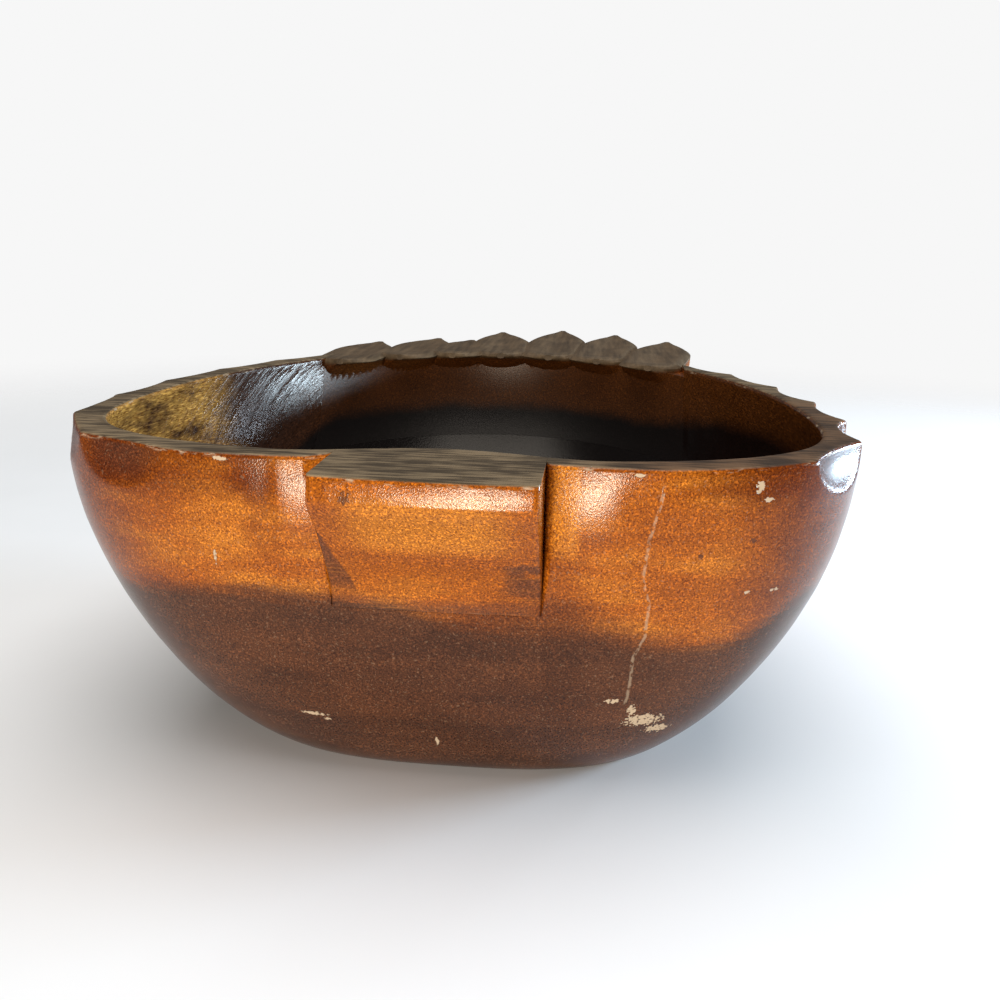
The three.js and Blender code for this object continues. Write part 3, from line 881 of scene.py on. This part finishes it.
# Noise of the finishes: size of its lumps along x, y and z, seed, detail and roughness
NOISES = {
    "shadow_edge_lump": ((30, 60, 22), 1, 2, 0.5),
    "shadow_edge_streak": ((26, 60, 2), 2, 3, 0.5),
    "broad_tone": ((34, 110, 15), 3, 3, 0.5),
    "band_tone": ((60, 110, 5), 12, 2, 0.5),
    "ragged_zone": ((9, 30, 7), 23, 3, 0.5),
    "inside_lump": ((14, 26, 9), 10, 4, 0.6),
    "pore": ((0.46, 4, 0.46), 4, 2, 0.6),
    "fleck": ((0.62, 6, 0.62), 5, 1, 0.6),
    "speck": ((0.8, 0.8, 0.8), 24, 2, 0.5),
    "rim_streak": ((14, 1.2, 1.2), 6, 3, 0.5),
    "leaf_streak": ((2.2, 30, 2.2), 6, 3, 0.5),
    "worn_patch": ((16, 16, 16), 13, 3, 0.5),
    "rubbed_edge": ((5, 5, 1.2), 14, 4, 0.65),
    "ragged_bare": ((0.9, 0.9, 0.9), 15, 3, 0.5),
    "ragged_dark": ((0.9, 0.9, 0.9), 16, 3, 0.5),
    "scratch_sway": ((3, 3, 3), 21, 3, 0.5),
    "scratch_break": ((1.5, 1.5, 2.2), 22, 3, 0.5),
    "stroke": ((9, 22, 2.6), 17, 3, 0.6),
    "stem_blotch": ((7, 7, 4), 18, 3, 0.5),
    "stem_scrape": ((16, 16, 0.5), 7, 2, 0.5),
    "dowel_grain": ((1.2, 1.2, 14), 8, 3, 0.5),
    "floor_speck": ((60, 60, 60), 9, 3, 0.5),
}
STROKE_TILT = math.radians(-32)  # of the scraper's strokes inside, which rise towards the crown

# Pairs of limits from here on: where a look starts and where it is full
STEM_SIDE = (-20, -40)  # y of the side towards the stem, where the wear is
PORE_SPAN = (0.46, 0.64)
FLECK_SPAN = (0.5, 0.66)
SPECK_SPAN = (0.6, 0.7)
SPECK_AMOUNT = 0.3

# Edge of the painted shadow on the lower wall, where darker brown stands for shade under the amber: its
# height, and its drops along x
SHADOW_EDGE_Z = 63.0
SHADOW_EDGE_DROPS = [(5.5, (-50, -95)), (3.5, (-12, 8)), (10, (36, 76)), (-12, (78, 106))]
SHADOW_EDGE_LUMP = 5.0
SHADOW_EDGE_STREAK = 7.0
SHADOW_EDGE_SOFT = 4.0
SHADOW_EDGE_BLUR = (6, [(-10, 20), (70, 40)], [])  # a zone where it is softer still
BROAD_SHARE = 0.65
AMBER_SPAN = (0.34, 0.54)
PALE_SPAN = (0.5, 0.66)
PALE_AMOUNT = 0.7
BROWN_SPAN = (0.35, 0.66)

# Zones: amount, limits of x and limits of z
DARK_ZONES = [
    (0.6, [(-98, -86), (-34, -46)], [(84, 93)]),  # painted shade in the gouged scoop under the rim at the left
    (0.5, [(54, 72)], [(86, 96)]),  # under the rim at the right
    (0.4, [(-54, -44), (-32, -40)], [(60, 84)]),  # along the flute
    (0.75, [(-50, -106)], []),  # left side
    (0.75, [(64, 104)], []),  # right side
    (0.35, [(48, 38), (29, 31)], [(80, 74)]),  # painted shade beside the right joint of the stem
]
BRIGHT_PATCH = (0.35, [(-68, -60), (-44, -50)], [(68, 76), (90, 84)])
# painted light on the rounded facet at the right of the stem's joint
PAINTED_LIGHT_STRIP = (0.75, [(31, 33), (40, 37.5)], [(74, 80)])
ZONE_RAGGED = 8.0

# Zones and marks of the stem block, with a painted shadow wedge at its left and a pale lip band that is
# partly painted light
# lowers the painted shadow's edge on the stem by keeping its lower part amber
STEM_AMBER = (0.6, [], [(62, 68)])
# partly a paler streak of the wood, partly painted light under the lip
LIP_BAND = (0.8, [(-22, -8), (28, 14)], [(77, 82), (98, 93)])
STEM_PLUM = (1, [(15, 26)], [(62, 68), (82, 76)])
PLUM_SPAN = (0.36, 0.56)
SHADOW_WEDGE_LINE = (-25, 86)  # x and z of a point on the slanted edge of the painted shadow wedge
SHADOW_WEDGE_SLANT = 0.36
SHADOW_WEDGE_RAGGED = 1.5
SHADOW_WEDGE_EDGE = (0.6, -0.6)
SHADOW_WEDGE_RISE = (61, 70)
STEM_DIM = 0.75
SCRAPED_PANEL = (78, 72)
SCRAPE_SPAN = (0.55, 0.7)
SCRAPE_AMOUNT = 0.25

# Hollow: its brown upper part over a nearly black painted shadow, the height of the shadow's edge and its
# rises along x
INSIDE_Z = 75.0
INSIDE_RISES = [(12, (55, 116)), (-22, (-70, -100))]
INSIDE_LUMP = 6.0
INSIDE_EDGE = (-3.5, 3.5)
INSIDE_LEFT = (-66, -96)
GOLD_REACH = (66, 36)  # along y
GOLD_SPAN = (0.34, 0.58)
STROKE_ZONE = (1, [(-40, -70)], [(46, 62)])
STROKE_MIDDLE = 0.45
DULL_FLOOR = (48, 24)

# Worn tops, greyed by wear and darkened as painted shade: noise of their streaks, drops below the rim and
# contrast
RIM_WEAR = ("rim_streak", (0.55, 0.1), 0.09)
LEAF_WEAR = ("leaf_streak", (3.4, 1.4), 0.3)
WORN_MIDDLE = 0.51
STREAK_SHARE = 0.6
BROWN_RIGHT = (28, 60)  # x and y of the browner side
BROWN_NEAR = (60, 20)
EDGE_DROP = (1.5, 0.7)
RUBBED_SPAN = (0.54, 0.66)
DOWEL_SPAN = (0.35, 0.7)
RUBBED_AMOUNT = 0.75
# painted shade in the gouged scallops, by their depth
GOUGE_SHADE = 0.75

# Wear on the side towards the stem: x, z, half width and half height of each spot
BARE_SPOTS = [
    (58.5, 24.3, 6, 2.6), (62.6, 19.6, 3.8, 1.9), (55, 28.6, 1.2, 2.4),
    (49.7, 32.4, 2.2, 0.9), (-34.3, 21.7, 4.4, 0.8), (-31, 20.2, 1.6, 0.7),
    (0.5, 14.1, 0.7, 1.7), (82.9, 65.5, 0.9, 0.7), (90.8, 65.2, 1.5, 0.5),
    (83.4, 95, 1.3, 1.7), (85.9, 91.4, 1.6, 0.7), (53.3, 98.4, 1.8, 0.5),
    (-56, 71.5, 0.5, 2.8), (-52.3, 98.7, 2.6, 0.6),
]
DARK_SPOTS = [(69.5, 77.2, 0.8, 0.8), (82.7, 80.7, 1.1, 1), (-15.3, 95.2, 2, 1.6)]
SPOT_EDGE = (1.25, 0.75)
SPOT_RAGGED = 5.0
SPOT_MIDDLE = 0.42
BOWL_SPOT = 0.85  # how dark the dark spots are on the bowl and on the stem
STEM_SPOT = 0.75

# A scratch down the wall at the right of the stem, as x and z from the rim down
SCRATCH = [
    (59.3, 95.8), (58.5, 91.3), (56.2, 81.4), (55.3, 71), (57.3, 64),
    (56.9, 54.2), (54.2, 47.8), (53.8, 36.7), (53, 31),
]
SCRATCH_EDGE = (0.66, 0.18)  # distance from its line
SCRATCH_SWAY = 1.1
SCRATCH_BREAK = (0.34, 0.52)
SCRATCH_END = 1.0
SCRATCH_AMOUNT = 0.42


def towards_stem(look):
    return look.fade(*STEM_SIDE, look.y)


def zone(look, limits, x, z):
    """How far a zone of the wall covers a point."""
    amount, x_limits, z_limits = limits
    fades = [look.fade(*limit, x) for limit in x_limits] + [look.fade(*limit, z) for limit in z_limits]
    return math.prod(fades, start=amount)


def along_x(look, steps):
    """The sum of several rises, each a height and its limits of x."""
    return sum(height * look.fade(*limits, look.x) for height, limits in steps)


def spots(look, places, noise_name):
    """How far a list of ragged spots covers the wood."""
    ragged = SPOT_RAGGED * (look.lumps(noise_name) - SPOT_MIDDLE)
    covered = 0.0
    for x, z, half_width, half_height in places:
        across = (look.x - x) / half_width
        up = (look.z - z) / half_height
        covered = look.fade(*SPOT_EDGE, across * across + up * up + ragged) + covered
    return look.fade(0.0, 1.0, covered) * towards_stem(look)


def scratch(look):
    """How far the scratch covers the wood: a fine broken line whose x follows its height."""
    top, bottom = SCRATCH[0][1], SCRATCH[-1][1]
    least = min(x for x, _ in SCRATCH)
    widest = max(x for x, _ in SCRATCH) - least
    stops = [((z - bottom) / (top - bottom), ((x - least) / widest,) * 3) for x, z in reversed(SCRATCH)]
    height = (look.z - bottom) / (top - bottom)
    line = least + widest * look.node("ValToRGB", {"stops": stops}, {0: height})
    line = line + SCRATCH_SWAY * (look.lumps("scratch_sway") - 0.5)
    away = look.node("Math", {"operation": "ABSOLUTE"}, {0: look.x - line})
    broken = look.fade(*SCRATCH_BREAK, look.lumps("scratch_break"))
    ends = look.fade(bottom - SCRATCH_END, bottom + SCRATCH_END, look.z)
    ends = ends * look.fade(top + SCRATCH_END, top - SCRATCH_END, look.z)
    return look.fade(*SCRATCH_EDGE, away) * broken * ends * towards_stem(look)


def outside_wood(look):
    """Amber wood over a painted shadow of darker brown below, with an edge that is lower at both sides of the
    stem.
    """
    border = SHADOW_EDGE_Z - along_x(look, SHADOW_EDGE_DROPS)
    border = border + SHADOW_EDGE_LUMP * (look.lumps("shadow_edge_lump") - 0.5)
    border = border + SHADOW_EDGE_STREAK * (look.lumps("shadow_edge_streak") - 0.5)
    soft = SHADOW_EDGE_SOFT + zone(look, SHADOW_EDGE_BLUR, look.x, look.z)
    amber = look.fade(-1.0, 1.0, (look.z - border) / soft)
    tone = BROAD_SHARE * look.lumps("broad_tone") + (1 - BROAD_SHARE) * look.lumps("band_tone")
    upper_wood = look.mix(look.fade(*AMBER_SPAN, tone), DEEP_AMBER, AMBER)
    upper_wood = look.mix(PALE_AMOUNT * look.fade(*PALE_SPAN, tone), upper_wood, PALE_AMBER)
    # painted shadow: darker brown below the edge
    shadowed_wood = look.mix(look.fade(*BROWN_SPAN, tone), DARK_SHADOW_WOOD, BROWN_SHADOW_WOOD)
    return look.mix(amber, shadowed_wood, upper_wood)


def wall_darkening_and_painted_light(look, wood):
    """Darkens the wood in ragged zones, two of them painted shade, and lights a patch at the stem's left and
    paints light on a strip at its right.
    """
    ragged = ZONE_RAGGED * (look.lumps("ragged_zone") - 0.5)
    x = look.x + ragged
    z = look.z + ragged
    near = towards_stem(look)
    dark = look.fade(0.0, 1.0, sum(zone(look, limits, x, z) for limits in DARK_ZONES))
    # painted shade under the left rim and beside the stem's right joint, among other darker zones
    wood = look.tinted(dark * near, wood, SHADE)
    wood = look.mix(zone(look, BRIGHT_PATCH, x, z) * near, wood, PALE_AMBER)
    # painted light on the facet beside the stem's right joint
    return look.mix(zone(look, PAINTED_LIGHT_STRIP, look.x, look.z) * near, wood, PALE_AMBER)


def inside_wood(look):
    """Brown at the top of the hollow, painted light in gold with plum at its left, and a nearly black painted
    shadow below.
    """
    lump = look.lumps("inside_lump")
    border = INSIDE_Z + along_x(look, INSIDE_RISES)
    light = look.fade(*INSIDE_EDGE, look.z - border + INSIDE_LUMP * (lump - 0.5))
    left = look.fade(*INSIDE_LEFT, look.x)
    # painted light: gold on the left wall of the hollow
    gold = look.fade(*GOLD_REACH, look.y) * look.fade(*GOLD_SPAN, lump)
    upper = look.mix(left, INSIDE_BROWN, look.mix(gold, INSIDE_PLUM, INSIDE_LIT_GOLD))
    # painted shadow below the edge
    return look.mix(light, INSIDE_SHADOW, upper)


def grained(look, colour):
    """Adds the wood's pores and flecks, which run along the bowl and show as specks at its ends."""
    pore = look.lumps("pore")
    fleck = look.lumps("fleck")
    colour = look.tinted(look.fade(*PORE_SPAN, pore), colour, DARK_PORE)
    return look.tinted(look.fade(*FLECK_SPAN, fleck), colour, PALE_FLECK), pore


def worn_shaded_top(look, colour, streak_name, drops, contrast):
    """Greys the flat top, darkened as painted shade, with pale worn streaks along one direction; colour and
    where the top is.
    """
    top = look.fade(*(RIM_Z - drop for drop in drops), look.z)
    tone = STREAK_SHARE * look.lumps(streak_name) + (1 - STREAK_SHARE) * look.lumps("worn_patch")
    worn = look.mix(look.fade(WORN_MIDDLE - contrast, WORN_MIDDLE + contrast, tone), SHADED_WORN_RIM, PALE_RIM)
    brown = look.fade(*BROWN_RIGHT, look.x) * look.fade(*BROWN_NEAR, look.y)
    return look.mix(top, colour, look.tinted(brown, worn, BROWN_TOP)), top


def worn_edge(look, colour):
    """Rubs the varnish off the outer edge of the rim in short lengths."""
    edge = look.fade(*(RIM_Z - drop for drop in EDGE_DROP), look.z)
    rubbed = look.fade(*RUBBED_SPAN, look.lumps("rubbed_edge"))
    return look.mix(RUBBED_AMOUNT * edge * rubbed, colour, BARE_WOOD)


def varnished(look, colour, roughness, normal):
    gloss = {"Specular IOR Level": GLOSS, "Specular Tint": VARNISH_TINT}
    return look.show(colour, roughness, Normal=normal, **gloss)


def bowl_finish():
    look = Finish("varnished_bowl_wood")
    hollow = look.mark("hollow")
    outside = 1.0 - hollow
    gouge = look.mark("gouge")
    wood = wall_darkening_and_painted_light(look, outside_wood(look))
    # painted shade: darkens the gouged scallops by their depth
    wood = look.mix(GOUGE_SHADE * gouge, wood, STAIN_AND_SHADE)
    colour, pore = grained(look, look.mix(hollow, wood, inside_wood(look)))
    speck = look.fade(*SPECK_SPAN, look.lumps("speck")) * outside
    colour = look.mix(SPECK_AMOUNT * speck, colour, PALE_SPECK)
    colour = worn_edge(look, colour)
    bare = (spots(look, BARE_SPOTS, "ragged_bare") + SCRATCH_AMOUNT * scratch(look)) * outside
    colour = look.mix(look.fade(0.0, 1.0, bare), colour, BARE_WOOD)
    colour = look.mix(BOWL_SPOT * spots(look, DARK_SPOTS, "ragged_dark") * outside, colour, STAIN_AND_SHADE)
    colour, top = worn_shaded_top(look, colour, *RIM_WEAR)
    stroke = look.lumps("stroke", STROKE_TILT)
    scraped = hollow * zone(look, STROKE_ZONE, look.x, look.z)
    dull = hollow * look.fade(*DULL_FLOOR, look.z)
    roughness = VARNISH_ROUGH + PORE_ROUGH * (pore - 0.5) + TOP_ROUGH * top
    roughness = roughness + STROKE_ROUGH * (stroke - STROKE_MIDDLE) * scraped
    roughness = roughness + DULL_ROUGH * dull + BARE_ROUGH * bare + GOUGE_ROUGH * gouge
    height = pore - BARE_DEPTH * bare + STROKE_DEPTH * stroke * scraped
    return varnished(look, colour, roughness, look.relief(height, PORE_RELIEF))


def stem_finish():
    look = Finish("varnished_stem_wood")
    x, z = look.x, look.z
    wood = outside_wood(look)
    wood = look.mix(zone(look, STEM_AMBER, x, z), wood, AMBER)
    # pale lip band: a paler streak of the wood, and painted light under the lip
    wood = look.mix(zone(look, LIP_BAND, x, z), wood, PALE_AMBER)
    blotch = look.lumps("stem_blotch")
    plum = zone(look, STEM_PLUM, x, z) * look.fade(*PLUM_SPAN, blotch)
    shadow_wedge_x, shadow_wedge_z = SHADOW_WEDGE_LINE
    slant = x - shadow_wedge_x + SHADOW_WEDGE_SLANT * (z - shadow_wedge_z) + SHADOW_WEDGE_RAGGED * (blotch - 0.5)
    # painted shadow cast on the panel by the wall at the stem's left joint
    shadow_wedge = look.fade(*SHADOW_WEDGE_EDGE, slant) * look.fade(*SHADOW_WEDGE_RISE, z)
    wood = look.mix(STEM_DIM * look.fade(0.0, 1.0, plum + shadow_wedge), wood, STAIN_AND_SHADE)
    hollow = look.mark("hollow")
    colour, pore = grained(look, look.mix(hollow, wood, inside_wood(look)))
    colour = worn_edge(look, colour)
    colour = look.mix(STEM_SPOT * spots(look, DARK_SPOTS, "ragged_dark") * (1.0 - hollow), colour, STAIN_AND_SHADE)
    colour, top = worn_shaded_top(look, colour, *RIM_WEAR)
    scrape = look.lumps("stem_scrape")
    scraped = look.fade(*SCRAPED_PANEL, z)
    colour = look.mix(SCRAPE_AMOUNT * scraped * look.fade(*SCRAPE_SPAN, scrape), colour, PALE_AMBER)
    roughness = VARNISH_ROUGH + PORE_ROUGH * (pore - 0.5) + TOP_ROUGH * top
    roughness = roughness + SCRAPE_ROUGH * scraped
    return varnished(look, colour, roughness, look.relief(pore + scrape * scraped, PORE_RELIEF))


def crown_finish():
    look = Finish("worn_crown_wood")
    wood = look.mix(look.mark("hollow"), outside_wood(look), inside_wood(look))
    colour, pore = grained(look, wood)
    colour, top = worn_shaded_top(look, colour, *LEAF_WEAR)
    # painted shade on the leaves' worn top
    colour = look.tinted(top, colour, DULL_LEAF)
    roughness = LEAF_ROUGH + LEAF_WEAR_ROUGH * (pore - 0.5 + top)
    return varnished(look, colour, roughness, look.relief(pore, LEAF_RELIEF))


def dowel_finish():
    look = Finish("turned_dowel_wood")
    grain = look.lumps("dowel_grain")
    colour = look.mix(look.fade(*DOWEL_SPAN, grain), DOWEL_PALE, DOWEL_DARK)
    roughness = DOWEL_ROUGH + DOWEL_GRAIN_ROUGH * (grain - 0.5)
    return look.show(colour, roughness, Normal=look.relief(grain, DOWEL_RELIEF))


FLOOR_RADIUS = 4.0  # in metres
FLOOR_SEGMENTS = 96
FLOOR_FADE = (1000.0, 260.0)  # distances where it has faded out and where it is whole


def floor_finish():
    look = Finish("pale_floor")
    speck = look.lumps("floor_speck")
    colour = look.mix(speck, FLOOR_GREY, FLOOR_PALE)
    near = look.fade(*FLOOR_FADE, look.vector("LENGTH", {0: look.place}))
    roughness = FLOOR_ROUGH + FLOOR_SPECK_ROUGH * (speck - 0.5)
    return look.show(colour, roughness, Alpha=near)


# Pieces

carved_bowl(bowl_finish())
carved_stem(stem_finish())
carved_crown(crown_finish())
dowel_wood = dowel_finish()
for name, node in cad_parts.items():
    if "dowel" in name:
        node.data.materials.clear()
        node.data.materials.append(dowel_wood)


# Floor, lights and camera

CAMERA_PLACE = (42.16, -317.47, 155.91)
CAMERA_YAW = math.radians(5.555)
CAMERA_PITCH = math.radians(15.175)
CAMERA_ROLL = math.radians(1.05)
SENSOR_WIDTH = 36.0
FOCAL_LENGTH = 36.0
CLIP_START = 0.01

# Softboxes: place and target in millimetres, size in metres, power in watts and colour
DAYLIGHT = (0.58, 0.79, 1.0)
FAR_DAYLIGHT = (0.66, 0.80, 1.0)
WARM_WHITE = (1.0, 0.94, 0.84)
WHITE = (1.0, 1.0, 1.0)
SOFTBOXES = {
    "front_softbox": ((-77, -1090, 140), (0, -80, 70), (0.15, 0.20), 12.5, WARM_WHITE),
    "side_strip": ((786, 266, 171), (-90, 80, 85), (0.28, 0.075), 9, DAYLIGHT),
    "far_strip": ((630, 547, 229), (-90, 80, 75), (0.08, 0.04), 0.6, FAR_DAYLIGHT),
    "overhead_softbox": ((0, 40, 1400), (0, 40, 0), (1.6, 1.6), 20, WHITE),
}
ROOM_COLOUR = (0.95, 0.97, 1.0, 1.0)
ROOM_STRENGTH = 0.13
BACKDROP = (0.93, 0.93, 0.93, 1.0)  # seen by the camera alone


def studio_floor():
    mesh = bpy.data.meshes.new("floor")
    made = bmesh.new()
    bmesh.ops.create_circle(made, cap_ends=True, segments=FLOOR_SEGMENTS, radius=FLOOR_RADIUS)
    made.to_mesh(mesh)
    made.free()
    mesh.materials.append(floor_finish())
    floor = linked("floor", mesh)


def softbox(name, place, target, size, power, colour):
    light = bpy.data.lights.new(name, "AREA")
    light.shape = "RECTANGLE"
    light.size, light.size_y = size
    light.energy = power
    light.color = colour
    box = linked(name, light)
    place, target = Vector(metres(place)), Vector(metres(target))
    box.location = place
    box.rotation_euler = (target - place).to_track_quat("-Z", "Y").to_euler()


def studio_light():
    for name, settings in SOFTBOXES.items():
        softbox(name, *settings)
    world = bpy.data.worlds.new("pale_room")
    world.use_nodes = True
    nodes, links = world.node_tree.nodes, world.node_tree.links
    nodes["Background"].inputs["Color"].default_value = ROOM_COLOUR
    nodes["Background"].inputs["Strength"].default_value = ROOM_STRENGTH
    backdrop = nodes.new("ShaderNodeBackground")
    backdrop.inputs["Color"].default_value = BACKDROP
    seen = nodes.new("ShaderNodeLightPath")
    choice = nodes.new("ShaderNodeMixShader")
    links.new(seen.outputs["Is Camera Ray"], choice.inputs[0])
    links.new(nodes["Background"].outputs[0], choice.inputs[1])
    links.new(backdrop.outputs[0], choice.inputs[2])
    links.new(choice.outputs[0], nodes["World Output"].inputs[0])
    bpy.context.scene.world = world
    bpy.context.scene.view_settings.view_transform = "Standard"


def photo_camera():
    lens = bpy.data.cameras.new("photo_camera")
    lens.sensor_width = SENSOR_WIDTH
    lens.lens = FOCAL_LENGTH
    lens.clip_start = CLIP_START
    camera = linked("photo_camera", lens)
    camera.matrix_world = (
        Matrix.Translation(Vector(metres(CAMERA_PLACE)))
        @ Matrix.Rotation(CAMERA_YAW, 4, "Z")
        @ Matrix.Rotation(math.pi / 2 - CAMERA_PITCH, 4, "X")
        @ Matrix.Rotation(CAMERA_ROLL, 4, "Z")
    )
    bpy.context.scene.camera = camera


studio_floor()
studio_light()
photo_camera()
